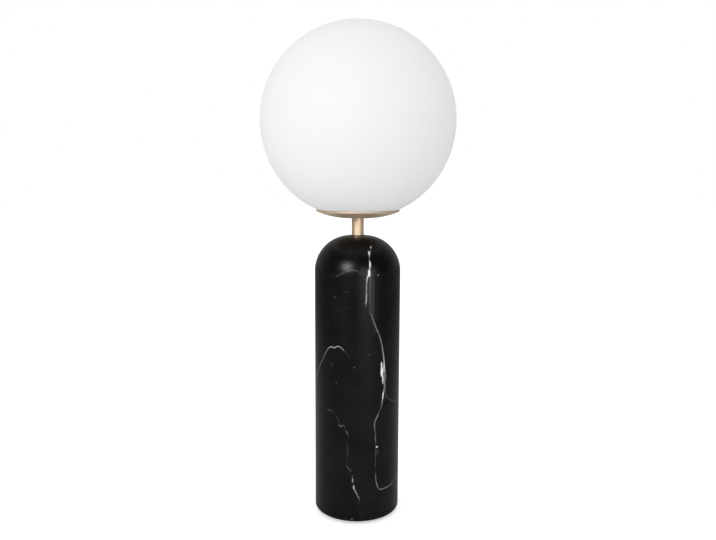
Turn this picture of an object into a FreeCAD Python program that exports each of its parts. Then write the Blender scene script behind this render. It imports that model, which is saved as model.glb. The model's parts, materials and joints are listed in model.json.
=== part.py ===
import FreeCAD, Part
import math
import os

import Sketcher

# A table lamp: an opal glass globe stands in a shallow brass dish, on a short brass neck, on a
# turned marble column. A hollow threaded rod runs through the stack, from a nut in the wiring
# recess under the column to the lampholder inside the globe.
# Frame: +Z up, origin at the centre of the foot pad's underside, front at -Y, cord inlet at +Y.
# All sizes are in millimetres.

SIZES = {
    # marble column
    "column_radius": 44.8,
    "column_height": 295.5,
    "top_round": 36.8,
    "foot_round": 4.8,
    "rod_hole_gap": 0.5,
    "recess_radius": 24.0,
    "recess_depth": 23.5,
    # what closes the column underneath
    "pad_thickness": 1.5,
    "pad_inset": 3.1,
    "cover_radius": 29.5,
    "cover_thickness": 1.5,
    "cover_gap": 0.4,
    # cord inlet at the back
    "inlet_height": 12.5,
    "inlet_bore_radius": 3.5,
    "inlet_wall": 1.3,
    "inlet_gap": 0.2,
    "inlet_flange_radius": 6.5,
    "inlet_flange_thickness": 1.5,
    # threaded rod and the nut that pulls on it
    "rod_radius": 5.0,
    "rod_bore_radius": 3.75,
    "rod_tail": 4.0,
    "thread_gap": 0.05,
    "washer_gap": 0.3,
    "clamp_washer_radius": 20.0,
    "clamp_washer_thickness": 2.0,
    "lock_washer_radius": 8.5,
    "lock_washer_thickness": 1.0,
    "lock_tooth_depth": 1.5,
    "nut_flats": 14.0,
    "nut_height": 5.0,
    "nut_chamfer": 0.6,
    "bush_wall": 0.8,
    "bush_depth": 6.0,
    "bush_flange_thickness": 1.2,
    "bush_gap": 0.05,
    # neck
    "neck_washer_overhang": 0.6,
    "neck_washer_thickness": 0.5,
    "neck_radius": 6.3,
    "neck_wall": 0.8,
    "neck_length": 18.1,
    # dish
    "dish_radius": 43.5,
    "dish_depth": 8.1,
    "dish_lip": 0.6,
    "dish_rim_round": 1.2,
    "dish_wall": 0.8,
    "dish_flat_radius": 12.0,
    # globe and its seat
    "globe_radius": 100.0,
    "glass_wall": 2.5,
    "mouth_drop": 0.3,
    "mouth_gap": 1.35,
    "seat_inset": 0.5,
    "seat_width": 4.0,
    "seat_gap": 0.1,
    # bracket that centres the globe's mouth
    "bracket_thickness": 0.8,
    "bracket_hub_radius": 12.0,
    "arm_width": 9.0,
    "arm_rise": 4.4,
    "arm_slope_length": 7.0,
    "clip_height": 9.0,
    "clip_gap": 0.5,
    "thin_nut_height": 3.0,
    # lampholder
    "holder_collar_radius": 9.5,
    "holder_collar_height": 8.0,
    "holder_shoulder_height": 6.0,
    "holder_cap_radius": 19.0,
    "holder_cap_height": 22.0,
    "holder_wall": 2.0,
    "set_screw_radius": 1.5,
    "set_screw_gap": 0.1,
    "set_screw_socket": 0.75,
    "core_spigot": 3.0,
    "core_flange_thickness": 3.0,
    "core_floor": 5.0,
    "core_height": 10.0,
    "core_wall": 2.2,
    "holder_gap": 0.3,
    "shell_length": 22.0,
    "shell_wall": 0.35,
    "thread_pitch": 3.6,
    "skirt_wall": 1.2,
    "skirt_overlap": 7.0,
    "skirt_height": 30.0,
    "skirt_lip": 2.0,
    "flute_radius": 0.9,
    "flute_length": 16.0,
    "contact_width": 5.0,
    "contact_thickness": 0.5,
    "contact_rise": 2.5,
    "rivet_radius": 1.5,
    "rivet_gap": 0.1,
    "terminal_size": 5.0,
    "terminal_offset": 8.0,
    "terminal_hole_radius": 1.3,
    "terminal_screw_radius": 1.2,
    "terminal_screw_length": 1.8,
    # bulb, heights counted from the tip of its centre contact
    "bulb_gap": 0.3,
    "tip_radius": 4.8,
    "tip_thickness": 1.2,
    "insulator_top": 5.7,
    "insulator_depth": 2.3,
    "cap_thread_radius": 13.1,
    "cap_thread_depth": 0.8,
    "cap_wall": 0.3,
    "cap_top": 24.0,
    "housing_spigot": 4.0,
    "housing_foot_radius": 13.6,
    "housing_rim_radius": 20.0,
    "housing_flare": 40.0,
    "housing_top": 44.0,
    "housing_wall": 1.5,
    "diffuser_radius": 22.5,
    "diffuser_wall": 1.0,
    "diffuser_land": 0.66,
    "bulb_length": 78.0,
    "board_thickness": 1.5,
    "board_gap": 0.3,
    "diffuser_seat": 0.75,
    "board_ledge": 2.0,
    "chip_size": 3.0,
    "chip_height": 0.7,
    "chip_ring_radius": 9.0,
    "driver_thickness": 1.2,
    "driver_width": 17.0,
    "driver_height": 28.5,
    "capacitor_radius": 3.6,
    "capacitor_height": 10.0,
}

BRACKET_ARMS = 3
LOCK_TEETH = 12
SHELL_THREADS = 5
CAP_THREADS = 4
SKIRT_FLUTES = 20
LED_CHIPS = 8
LEFT, RIGHT = 1, -1

document = FreeCAD.newDocument("GlobeTableLamp")
sheet = document.addObject("Spreadsheet::Sheet", "Sizes")
for row, (name, value) in enumerate(SIZES.items(), start=1):
    sheet.set(f"A{row}", name)
    sheet.set(f"B{row}", str(value))
    sheet.setAlias(f"B{row}", name)
document.recompute()


class Length:
    """A length that carries its value and the sheet expression that gives it."""

    def __init__(self, text, value):
        self.text = text
        self.value = value

    def __add__(self, other):
        other = length(other)
        return Length(f"({self.text} + {other.text})", self.value + other.value)

    def __sub__(self, other):
        other = length(other)
        return Length(f"({self.text} - {other.text})", self.value - other.value)

    def __mul__(self, other):
        other = length(other)
        return Length(f"{self.text} * {other.text}", self.value * other.value)

    def __truediv__(self, other):
        other = length(other)
        return Length(f"{self.text} / ({other.text})", self.value / other.value)


def length(thing):
    """A plain number stands for itself."""
    return thing if isinstance(thing, Length) else Length(f"({thing})", float(thing))


def leg(hypotenuse, other_leg):
    """The second leg of a right triangle."""
    text = f"sqrt(({hypotenuse.text})^2 - ({other_leg.text})^2)"
    return Length(text, math.sqrt(hypotenuse.value**2 - other_leg.value**2))


def size(name):
    return Length(f"Sizes.{name}", float(SIZES[name]))


# ---------------------------------------------------------------- heights of the stack

marble_bottom = size("pad_thickness")
marble_top = marble_bottom + size("column_height")
recess_ceiling = marble_bottom + size("recess_depth")
clamp_washer_z = recess_ceiling - size("clamp_washer_thickness")
lock_washer_z = clamp_washer_z - size("lock_washer_thickness")
bottom_nut_z = lock_washer_z - size("nut_height")
rod_bottom = bottom_nut_z - size("rod_tail")
neck_bottom = marble_top + size("neck_washer_thickness")
dish_bottom = neck_bottom + size("neck_length")
dish_floor = dish_bottom + size("dish_wall")
bracket_top = dish_floor + size("bracket_thickness")
dish_nut_z = bracket_top + size("lock_washer_thickness")
holder_bottom = dish_nut_z + size("thin_nut_height")
rod_top = holder_bottom + size("holder_collar_height")
holder_rim = holder_bottom + size("holder_cap_height")
core_floor_z = holder_rim + size("core_floor")
bulb_tip = core_floor_z + size("contact_rise") + size("bulb_gap")

# ---------------------------------------------------------------- radii that several pieces share

rod_hole = size("rod_radius") + size("rod_hole_gap")
threaded_hole = size("rod_radius") + size("thread_gap")
washer_hole = size("rod_radius") + size("washer_gap")
sleeve_radius = size("inlet_bore_radius") + size("inlet_wall")
spigot_radius = size("holder_cap_radius") - size("holder_wall") - size("holder_gap")
shell_crest = size("cap_thread_radius") + size("holder_gap")
shell_root = shell_crest + size("cap_thread_depth") * 0.6
core_pocket = shell_root + size("shell_wall") + size("holder_gap")
core_radius = core_pocket + size("core_wall")

# The dish is flat in the middle. From there one wide arc rises, and a small one, tangent to it,
# turns up into the lip. Both arcs are drawn for the outside and, a wall smaller, for the inside.
dish_run = size("dish_radius") - size("dish_rim_round") - size("dish_flat_radius")
dish_climb = size("dish_depth") - size("dish_lip")
dish_rise = dish_climb - size("dish_rim_round")
dish_arc = (dish_run * dish_run + dish_rise * (dish_climb + size("dish_rim_round"))) / (dish_rise * 2)
dish_inner_arc = dish_arc - size("dish_wall")
dish_centres = dish_arc - size("dish_rim_round")

# The globe's mouth is ground flat just below the dish's rim, and clears the dish all round.
mouth_height = size("dish_depth") - size("mouth_drop")
mouth_plane = dish_bottom + mouth_height
mouth_radius = size("dish_radius") - size("dish_wall") - size("mouth_gap")
globe_rise = leg(size("globe_radius"), mouth_radius)
globe_inner_radius = size("globe_radius") - size("glass_wall")
mouth_inner_radius = leg(globe_inner_radius, globe_rise)


# ---------------------------------------------------------------- drawing helpers

def corner(across, up):
    """A straight edge of an outline, up to this point."""
    return (length(across), length(up), None, None)


def bend(across, up, radius, turn):
    """A round edge of an outline, up to this point, that turns LEFT or RIGHT."""
    return (length(across), length(up), length(radius), turn)


def origin_plane(body, role):
    return next(item for item in body.Origin.OriginFeatures if item.Role == role)


def new_body(label):
    body = document.addObject("PartDesign::Body", label)
    body.Label = label
    return body


def new_sketch(body, role, name, offset=None):
    """A sketch on one of the body's own origin planes, moved along its normal by offset."""
    sketch = body.newObject("Sketcher::SketchObject", name)
    sketch.AttachmentSupport = (origin_plane(body, role), [""])
    sketch.MapMode = "FlatFace"
    if offset is not None:
        sketch.setExpression("AttachmentOffset.Base.z", offset.text)
    return sketch


def pin_down(sketch, kind, item, end, distance, axis):
    """Fix one coordinate of a point: on the axis if it is 0, and by an expression otherwise."""
    if distance.value == 0:
        sketch.addConstraint(Sketcher.Constraint("PointOnObject", item, end, axis))
        return
    index = sketch.addConstraint(Sketcher.Constraint(kind, item, end, distance.value))
    sketch.setExpression(f"Constraints[{index}]", distance.text)


def arc_between(start, end, radius, turn):
    """The arc of under a half circle, or the shortest one past it, from start to end."""
    chord = end - start
    reach = math.sqrt(max(radius**2 - chord.Length**2 / 4, 0))
    side = FreeCAD.Vector(-chord.y, chord.x, 0).normalize() * reach * turn
    centre = (start + end) / 2 + side
    first, last = (start, end) if turn == LEFT else (end, start)
    angles = [math.atan2(point.y - centre.y, point.x - centre.x) for point in (first, last)]
    circle = Part.Circle(centre, FreeCAD.Vector(0, 0, 1), radius)
    return Part.ArcOfCircle(circle, angles[0], angles[1])


def draw_outline(sketch, corners):
    """A closed outline. Each entry says where an edge ends and whether it is round."""
    points = [FreeCAD.Vector(across.value, up.value, 0) for across, up, _, _ in corners]
    ends = []
    for number, (_, _, radius, turn) in enumerate(corners):
        start = points[number - 1]
        end = points[number]
        if radius is None:
            edge = Part.LineSegment(start, end)
        else:
            edge = arc_between(start, end, radius.value, turn)
        sketch.addGeometry(edge, False)
        ends.append((2, 1) if turn == RIGHT else (1, 2))
    for number, (across, up, radius, turn) in enumerate(corners):
        following = (number + 1) % len(corners)
        sketch.addConstraint(Sketcher.Constraint(
            "Coincident", number, ends[number][1], following, ends[following][0]))
        pin_down(sketch, "DistanceX", number, ends[number][1], across, -2)
        pin_down(sketch, "DistanceY", number, ends[number][1], up, -1)
        if radius is not None:
            index = sketch.addConstraint(Sketcher.Constraint("Radius", number, radius.value))
            sketch.setExpression(f"Constraints[{index}]", radius.text)


def draw_circle(sketch, across, up, radius):
    centre = FreeCAD.Vector(across.value, up.value, 0)
    circle = Part.Circle(centre, FreeCAD.Vector(0, 0, 1), radius.value)
    item = sketch.addGeometry(circle, False)
    pin_down(sketch, "DistanceX", item, 3, across, -2)
    pin_down(sketch, "DistanceY", item, 3, up, -1)
    index = sketch.addConstraint(Sketcher.Constraint("Radius", item, radius.value))
    sketch.setExpression(f"Constraints[{index}]", radius.text)


def turned(label, corners, height=None):
    """A body turned about its own Z axis from a half outline, standing at a height."""
    body = new_body(label)
    sketch = new_sketch(body, "XZ_Plane", "HalfOutline")
    draw_outline(sketch, corners)
    revolution = body.newObject("PartDesign::Revolution", "Turned")
    revolution.Profile = sketch
    revolution.ReferenceAxis = (sketch, ["V_Axis"])
    revolution.Angle = 360
    if height is not None:
        body.setExpression("Placement.Base.z", height.text)
    return body


def padded(body, sketch, name, height, both_ways=False):
    pad = body.newObject("PartDesign::Pad", name)
    pad.Profile = sketch
    pad.SideType = "Symmetric" if both_ways else "One side"
    pad.setExpression("Length", height.text)
    return pad


def cut_through(body, sketch, name, both_ways=False, backwards=False):
    pocket = body.newObject("PartDesign::Pocket", name)
    pocket.Profile = sketch
    pocket.Type = "ThroughAll"
    pocket.SideType = "Symmetric" if both_ways else "One side"
    pocket.Reversed = backwards
    return pocket


def around_z(body, feature, name, count):
    """Repeat a feature around the body's own Z axis."""
    pattern = body.newObject("PartDesign::PolarPattern", name)
    pattern.Originals = [feature]
    pattern.Axis = (origin_plane(body, "Z_Axis"), [""])
    pattern.Angle = 360
    pattern.Occurrences = count
    body.Tip = pattern
    return pattern


def ring(label, inner, outer, thickness, height):
    """A plain washer, tube or disc."""
    corners = [corner(inner, 0), corner(outer, 0), corner(outer, thickness), corner(inner, thickness)]
    return turned(label, corners, height)


def waves(middle, swing, start, pitch, count, upwards=True):
    """The rounded rings of a lamp thread, as arcs that swing out and in about a radius."""
    chord = pitch / 2
    radius = (chord * chord / 4 + swing * swing) / (swing * 2)
    edges = []
    for half in range(1, 2 * count + 1):
        up = start + chord * half if upwards else start + chord * (2 * count - half)
        outwards = half % 2 == 1 if upwards else half % 2 == 0
        edges.append(bend(middle, up, radius, LEFT if outwards == upwards else RIGHT))
    return edges


def placed_box(name, across, deep, high, x, y, z):
    """A block from its low corner."""
    box = document.addObject("Part::Box", name)
    for property_name, value in (("Length", across), ("Width", deep), ("Height", high)):
        box.setExpression(property_name, value.text)
    for axis, value in (("x", x), ("y", y), ("z", z)):
        box.setExpression(f"Placement.Base.{axis}", value.text)
    return box


def placed_cylinder(name, radius, height, x, y, z, rotation=None):
    cylinder = document.addObject("Part::Cylinder", name)
    if rotation is not None:
        cylinder.Placement = FreeCAD.Placement(FreeCAD.Vector(), rotation)
    cylinder.setExpression("Radius", radius.text)
    cylinder.setExpression("Height", height.text)
    for axis, value in (("x", x), ("y", y), ("z", z)):
        cylinder.setExpression(f"Placement.Base.{axis}", value.text)
    return cylinder


def group(label, solids):
    """Separate solids that share one node."""
    compound = document.addObject("Part::Compound", label)
    compound.Label = label
    compound.Links = solids
    return compound


# ---------------------------------------------------------------- column and what is under it

def make_column():
    """A marble cylinder with a fully rounded top, bored for the rod, hollow underneath."""
    radius = size("column_radius")
    high = size("column_height")
    foot = size("foot_round")
    top = size("top_round")
    rebate = size("cover_radius") + size("cover_gap")
    column = turned("column", [
        corner(rebate, 0),
        corner(radius - foot, 0),
        bend(radius, foot, foot, LEFT),
        corner(radius, high - top),
        bend(radius - top, high, top, LEFT),
        corner(rod_hole, high),
        corner(rod_hole, size("recess_depth")),
        corner(size("recess_radius"), size("recess_depth")),
        corner(size("recess_radius"), size("cover_thickness")),
        corner(rebate, size("cover_thickness")),
    ], marble_bottom)
    hole = new_sketch(column, "XZ_Plane", "InletHole")
    draw_circle(hole, length(0), size("inlet_height"), sleeve_radius + size("inlet_gap"))
    cut_through(column, hole, "InletBore")
    depth = radius - size("inlet_flange_thickness")
    spot = new_sketch(column, "XZ_Plane", "InletSpot", length(0) - depth)
    draw_circle(spot, length(0), size("inlet_height"),
                size("inlet_flange_radius") + size("inlet_gap"))
    cut_through(column, spot, "InletSpotFace")
    return column


def make_foot_pad():
    radius = size("column_radius") - size("foot_round") - size("pad_inset")
    return ring("foot_pad", length(0), radius, size("pad_thickness"), length(0))


def make_bottom_cover():
    return ring("bottom_cover", length(0), size("cover_radius"), size("cover_thickness"),
                marble_bottom)


def make_cord_bushing():
    """A flanged sleeve in the back of the column. It is turned upright and laid along +Y."""
    bore = size("inlet_bore_radius")
    deep = size("column_radius") - size("recess_radius")
    seat = deep - size("inlet_flange_thickness")
    bushing = turned("cord_bushing", [
        corner(bore, 0),
        corner(sleeve_radius, 0),
        corner(sleeve_radius, seat),
        corner(size("inlet_flange_radius"), seat),
        corner(size("inlet_flange_radius"), deep),
        corner(bore, deep),
    ])
    laid_back = FreeCAD.Rotation(FreeCAD.Vector(1, 0, 0), -90)
    bushing.Placement = FreeCAD.Placement(FreeCAD.Vector(), laid_back)
    bushing.setExpression("Placement.Base.y", size("recess_radius").text)
    bushing.setExpression("Placement.Base.z", (marble_bottom + size("inlet_height")).text)
    return bushing


# ---------------------------------------------------------------- rod, nuts and washers

def make_hex_nut(label, high, height):
    """A chamfered nut: a turned blank with six flats cut off it."""
    half_flats = size("nut_flats") / 2
    corner_radius = size("nut_flats") / math.sqrt(3)
    chamfer = size("nut_chamfer")
    nut = turned(label, [
        corner(threaded_hole, 0),
        corner(half_flats, 0),
        corner(corner_radius, chamfer),
        corner(corner_radius, high - chamfer),
        corner(half_flats, high),
        corner(threaded_hole, high),
    ], height)
    flat = new_sketch(nut, "XY_Plane", "Flat")
    draw_outline(flat, [
        corner(half_flats, length(0) - half_flats),
        corner(half_flats * 2, length(0) - half_flats),
        corner(half_flats * 2, half_flats),
        corner(half_flats, half_flats),
    ])
    around_z(nut, cut_through(nut, flat, "FlatCut", both_ways=True), "Flats", 6)
    return nut


def make_lock_washer(label, height):
    """A washer with teeth around its rim, made by notching it between them."""
    washer = ring(label, washer_hole, size("lock_washer_radius"), size("lock_washer_thickness"),
                  height)
    notch = new_sketch(washer, "XY_Plane", "Notch")
    foot = size("lock_washer_radius") - size("lock_tooth_depth")
    half = size("lock_tooth_depth") / 2
    beyond = size("lock_washer_radius") + half
    draw_outline(notch, [
        corner(foot, length(0) - half),
        corner(beyond, length(0) - half),
        corner(beyond, half),
        corner(foot, half),
    ])
    around_z(washer, cut_through(washer, notch, "NotchCut", both_ways=True), "Teeth", LOCK_TEETH)
    return washer


def make_clamp_washer():
    return ring("clamp_washer", washer_hole, size("clamp_washer_radius"),
                size("clamp_washer_thickness"), clamp_washer_z)


def make_threaded_rod():
    return ring("threaded_rod", size("rod_bore_radius"), size("rod_radius"),
                rod_top - rod_bottom, rod_bottom)


def make_rod_end_bush():
    """A flanged bush pushed into the rod's lower end, so that its edge can't cut a lead."""
    outer = size("rod_bore_radius") - size("bush_gap")
    inner = outer - size("bush_wall")
    flange = size("bush_flange_thickness")
    return turned("rod_end_bush", [
        corner(inner, 0),
        corner(size("rod_radius"), 0),
        corner(size("rod_radius"), flange),
        corner(outer, flange),
        corner(outer, flange + size("bush_depth")),
        corner(inner, flange + size("bush_depth")),
    ], rod_bottom - flange)


# ---------------------------------------------------------------- neck and dish

def make_neck_washer():
    radius = size("neck_radius") + size("neck_washer_overhang")
    return ring("neck_washer", washer_hole, radius, size("neck_washer_thickness"), marble_top)


def make_neck_tube():
    return ring("neck_tube", size("neck_radius") - size("neck_wall"), size("neck_radius"),
                size("neck_length"), neck_bottom)


def make_globe_dish():
    flat = size("dish_flat_radius")
    rim = size("dish_radius")
    wall = size("dish_wall")
    rim_round = size("dish_rim_round")
    across = dish_run / dish_centres
    up = (dish_arc - dish_climb) / dish_centres
    return turned("globe_dish", [
        corner(washer_hole, 0),
        corner(flat, 0),
        bend(flat + dish_arc * across, dish_arc - dish_arc * up, dish_arc, LEFT),
        bend(rim, dish_climb, rim_round, LEFT),
        corner(rim, size("dish_depth")),
        corner(rim - wall, size("dish_depth")),
        corner(rim - wall, dish_climb),
        bend(flat + dish_inner_arc * across, dish_arc - dish_inner_arc * up, rim_round - wall, RIGHT),
        bend(flat, wall, dish_inner_arc, RIGHT),
        corner(washer_hole, wall),
    ], dish_bottom)


def make_globe_seat_ring():
    """A soft ring in the dish, under the ground edge of the glass."""
    inner = mouth_inner_radius + size("seat_inset")
    outer = inner + size("seat_width")
    flat = size("dish_flat_radius")
    under_arc = dish_inner_arc - size("seat_gap")
    inner_foot = dish_arc - leg(under_arc, inner - flat)
    outer_foot = dish_arc - leg(under_arc, outer - flat)
    return turned("globe_seat_ring", [
        corner(inner, inner_foot),
        bend(outer, outer_foot, under_arc, LEFT),
        corner(outer, mouth_height),
        corner(inner, mouth_height),
    ], dish_bottom)


def make_glass_globe():
    """The globe's outline is drawn from its mouth, which is its lowest edge."""
    radius = size("globe_radius")
    wall = size("glass_wall")
    return turned("glass_globe", [
        bend(mouth_inner_radius, 0, globe_inner_radius, RIGHT),
        corner(mouth_radius, 0),
        bend(0, globe_rise + radius, radius, LEFT),
        corner(0, globe_rise + radius - wall),
    ], mouth_plane)


def make_spring_bracket():
    """A hub under the nut with three bent arms, whose ends stand inside the globe's mouth."""
    thick = size("bracket_thickness")
    hub_radius = size("bracket_hub_radius")
    rise = size("arm_rise")
    clip = mouth_inner_radius - size("clip_gap")
    slope_foot = hub_radius - thick * 2
    slope_top = hub_radius + size("arm_slope_length")
    bracket = ring("spring_bracket", washer_hole, hub_radius, thick, dish_floor)
    arm = new_sketch(bracket, "XZ_Plane", "ArmProfile")
    draw_outline(arm, [
        corner(slope_foot - thick, 0),
        corner(slope_foot + thick, 0),
        corner(slope_top, rise),
        corner(clip, rise),
        corner(clip, rise + size("clip_height")),
        corner(clip - thick, rise + size("clip_height")),
        corner(clip - thick, rise + thick),
        corner(slope_top - thick, rise + thick),
        corner(slope_foot - thick, thick),
    ])
    around_z(bracket, padded(bracket, arm, "Arm", size("arm_width"), both_ways=True), "Arms",
             BRACKET_ARMS)
    return bracket


# ---------------------------------------------------------------- lampholder

def make_lampholder_cap():
    """A dome with a threaded collar, hollow above the rod for the wiring."""
    collar = size("holder_collar_radius")
    collar_top = size("holder_collar_height")
    shoulder = collar_top + size("holder_shoulder_height")
    radius = size("holder_cap_radius")
    wall = size("holder_wall")
    rim = size("holder_cap_height")
    slanted_wall = wall * 1.2
    cap = turned("lampholder_cap", [
        corner(threaded_hole, 0),
        corner(collar, 0),
        corner(collar, collar_top),
        corner(radius, shoulder),
        corner(radius, rim),
        corner(radius - wall, rim),
        corner(radius - wall, shoulder + slanted_wall),
        corner(collar - wall, collar_top + slanted_wall),
        corner(threaded_hole, collar_top + slanted_wall),
    ], holder_bottom)
    screw_hole = new_sketch(cap, "YZ_Plane", "SetScrewHole")
    draw_circle(screw_hole, length(0), collar_top / 2, size("set_screw_radius") + size("set_screw_gap"))
    cut_through(cap, screw_hole, "SetScrewBore", backwards=True)
    return cap


def make_cap_set_screw():
    """A grub screw in the cap's collar. It is turned upright and laid along +X."""
    radius = size("set_screw_radius")
    socket = size("set_screw_socket")
    long = size("holder_collar_radius") - threaded_hole
    screw = turned("cap_set_screw", [
        corner(0, 0),
        corner(radius * 0.6, 0),
        corner(radius, radius * 0.4),
        corner(radius, long),
        corner(socket, long),
        corner(socket, long / 2),
        corner(0, long / 2),
    ])
    laid_across = FreeCAD.Rotation(FreeCAD.Vector(0, 1, 0), 90)
    screw.Placement = FreeCAD.Placement(FreeCAD.Vector(), laid_across)
    screw.setExpression("Placement.Base.x", threaded_hole.text)
    screw.setExpression("Placement.Base.z", (holder_bottom + size("holder_collar_height") / 2).text)
    return screw


def make_lampholder_core():
    """The ceramic core: a spigot in the cap, a flange on its rim and a cup for the shell."""
    hole = size("rivet_radius") + size("rivet_gap")
    flange = size("holder_cap_radius") - size("rivet_gap") * 2
    return turned("lampholder_core", [
        corner(hole, length(0) - size("core_spigot")),
        corner(spigot_radius, length(0) - size("core_spigot")),
        corner(spigot_radius, 0),
        corner(flange, 0),
        corner(flange, size("core_flange_thickness")),
        corner(core_radius, size("core_flange_thickness")),
        corner(core_radius, size("core_height")),
        corner(core_pocket, size("core_height")),
        corner(core_pocket, size("core_floor")),
        corner(hole, size("core_floor")),
    ], holder_rim)


def make_screw_shell():
    """The brass shell that the bulb screws into, with rounded thread rings."""
    wall = size("shell_wall")
    swing = (shell_root - shell_crest) / 2
    middle = shell_crest + swing
    pitch = size("thread_pitch")
    band = (size("shell_length") - pitch * SHELL_THREADS) / 2
    return turned("screw_shell", [
        corner(middle, 0),
        corner(middle + wall, 0),
        corner(middle + wall, band),
        *waves(middle + wall, swing, band, pitch, SHELL_THREADS),
        corner(middle + wall, size("shell_length")),
        corner(middle, size("shell_length")),
        corner(middle, size("shell_length") - band),
        *waves(middle, swing, band, pitch, SHELL_THREADS, upwards=False),
    ], core_floor_z)


def make_centre_contact():
    """A bent strip on the core's floor, with its rivet down through the core."""
    thick = size("contact_thickness")
    rise = size("contact_rise")
    body = new_body("centre_contact")
    strip = new_sketch(body, "XZ_Plane", "StripProfile")
    draw_outline(strip, [
        corner(length(0) - rise * 3, 0),
        corner(rise, 0),
        corner(rise * 2, thick),
        corner(rise, rise),
        corner(length(0) - rise, rise),
        corner(length(0) - rise, rise - thick),
        corner(rise * 0.9, rise - thick),
        corner(rise * 1.6, thick),
        corner(length(0) - rise * 3, thick),
    ])
    padded(body, strip, "Strip", size("contact_width"), both_ways=True)
    shank = new_sketch(body, "XY_Plane", "RivetCircle", length(0) - size("core_floor") - size("core_spigot"))
    draw_circle(shank, length(0), length(0), size("rivet_radius"))
    padded(body, shank, "Rivet", size("core_floor") + size("core_spigot") + thick)
    body.setExpression("Placement.Base.z", core_floor_z.text)
    return body


def make_terminals():
    """Two brass blocks under the core, each with a hole for a conductor and a clamping screw."""
    block = size("terminal_size")
    top = holder_rim - size("core_spigot")
    along_y = FreeCAD.Rotation(FreeCAD.Vector(1, 0, 0), -90)
    blocks = []
    screws = []
    for name, side in (("Left", -1), ("Right", 1)):
        middle = size("terminal_offset") * side
        cube = placed_box(f"TerminalBlock{name}", block, block, block,
                          middle - block / 2, length(0) - block / 2, top - block)
        bore = placed_cylinder(f"TerminalBore{name}", size("terminal_hole_radius"), block,
                               middle, length(0) - block / 2, top - block * 0.4, along_y)
        blocks.append(cut_piece(f"Terminal{name}", cube, bore))
        screws.append(placed_cylinder(f"TerminalScrew{name}", size("terminal_screw_radius"),
                                      size("terminal_screw_length"), middle, length(0),
                                      top - block - size("terminal_screw_length")))
    return [group("terminal_blocks", blocks), group("terminal_screws", screws)]


def cut_piece(name, base, tool):
    cut = document.addObject("Part::Cut", name)
    cut.Base = base
    cut.Tool = tool
    return cut


def make_lampholder_skirt():
    """The barrel over the core. Its lip covers the shell, and its flutes are for the fingers."""
    over_cap = size("holder_cap_radius") + size("holder_gap")
    outer = over_cap + size("skirt_wall")
    ledge = size("core_flange_thickness") + size("holder_gap")
    over_core = core_radius + size("holder_gap")
    lip_radius = shell_root + size("shell_wall") + size("holder_gap")
    high = size("skirt_height")
    lip = size("skirt_lip")
    low = length(0) - size("skirt_overlap")
    skirt = turned("lampholder_skirt", [
        corner(over_cap, low),
        corner(outer, low),
        corner(outer, high - lip),
        bend(outer - lip, high, lip, LEFT),
        corner(lip_radius, high),
        corner(lip_radius, high - lip),
        corner(over_core, high - lip),
        corner(over_core, ledge),
        corner(over_cap, ledge),
    ], holder_rim)
    flute = new_sketch(skirt, "XY_Plane", "FluteCircle", low)
    draw_circle(flute, outer + size("flute_radius") * 0.5, length(0), size("flute_radius"))
    pocket = body_pocket(skirt, flute, "FluteCut", size("flute_length"))
    around_z(skirt, pocket, "Flutes", SKIRT_FLUTES)
    return skirt


def body_pocket(body, sketch, name, depth):
    """A cut upwards from a sketch, to a depth."""
    pocket = body.newObject("PartDesign::Pocket", name)
    pocket.Profile = sketch
    pocket.Type = "Length"
    pocket.Reversed = True
    pocket.setExpression("Length", depth.text)
    return pocket


# ---------------------------------------------------------------- bulb

cap_root = size("cap_thread_radius") - size("cap_thread_depth")
insulator_radius = cap_root - size("cap_wall") - size("bush_gap")
board_bottom = size("housing_top") - size("board_thickness")

# The diffuser is half a ball down to its widest height. From there one arc, upright at its upper
# end, draws in to a foot that stands on the housing's rim.
diffuser_drop = size("bulb_length") - size("diffuser_radius") - size("housing_top")
diffuser_foot = size("housing_rim_radius") - size("diffuser_land")
diffuser_run = size("diffuser_radius") - diffuser_foot
diffuser_lower_arc = (diffuser_drop * diffuser_drop + diffuser_run * diffuser_run) / (diffuser_run * 2)
board_pocket = diffuser_foot - size("diffuser_wall") - size("diffuser_seat")


def make_bulb_tip_contact():
    radius = size("tip_radius")
    thick = size("tip_thickness")
    stem = radius * 0.6
    return turned("bulb_tip_contact", [
        corner(0, 0),
        corner(stem, 0),
        corner(radius, thick * 0.6),
        corner(radius, thick),
        corner(stem, thick),
        corner(stem, thick * 2.5),
        corner(0, thick * 2.5),
    ], bulb_tip)


def make_bulb_insulator():
    stem = size("tip_radius") * 0.6 + size("bush_gap")
    low = size("tip_thickness")
    shoulder = size("insulator_top")
    high = shoulder + size("insulator_depth")
    wall = size("insulator_depth")
    return turned("bulb_insulator", [
        corner(stem, low),
        corner(size("tip_radius") + low, low),
        corner(insulator_radius, shoulder),
        corner(insulator_radius, high),
        corner(insulator_radius - wall, high),
        corner(stem, low + wall),
    ], bulb_tip)


def make_bulb_screw_cap():
    wall = size("cap_wall")
    swing = size("cap_thread_depth") / 2
    middle = size("cap_thread_radius") - swing
    pitch = size("thread_pitch")
    long = size("cap_top") - size("insulator_top")
    band = (long - pitch * CAP_THREADS) / 2
    return turned("bulb_screw_cap", [
        corner(middle - wall, 0),
        corner(middle, 0),
        corner(middle, band),
        *waves(middle, swing, band, pitch, CAP_THREADS),
        corner(middle, long),
        corner(middle - wall, long),
        corner(middle - wall, long - band),
        *waves(middle - wall, swing, band, pitch, CAP_THREADS, upwards=False),
    ], bulb_tip + size("insulator_top"))


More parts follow.
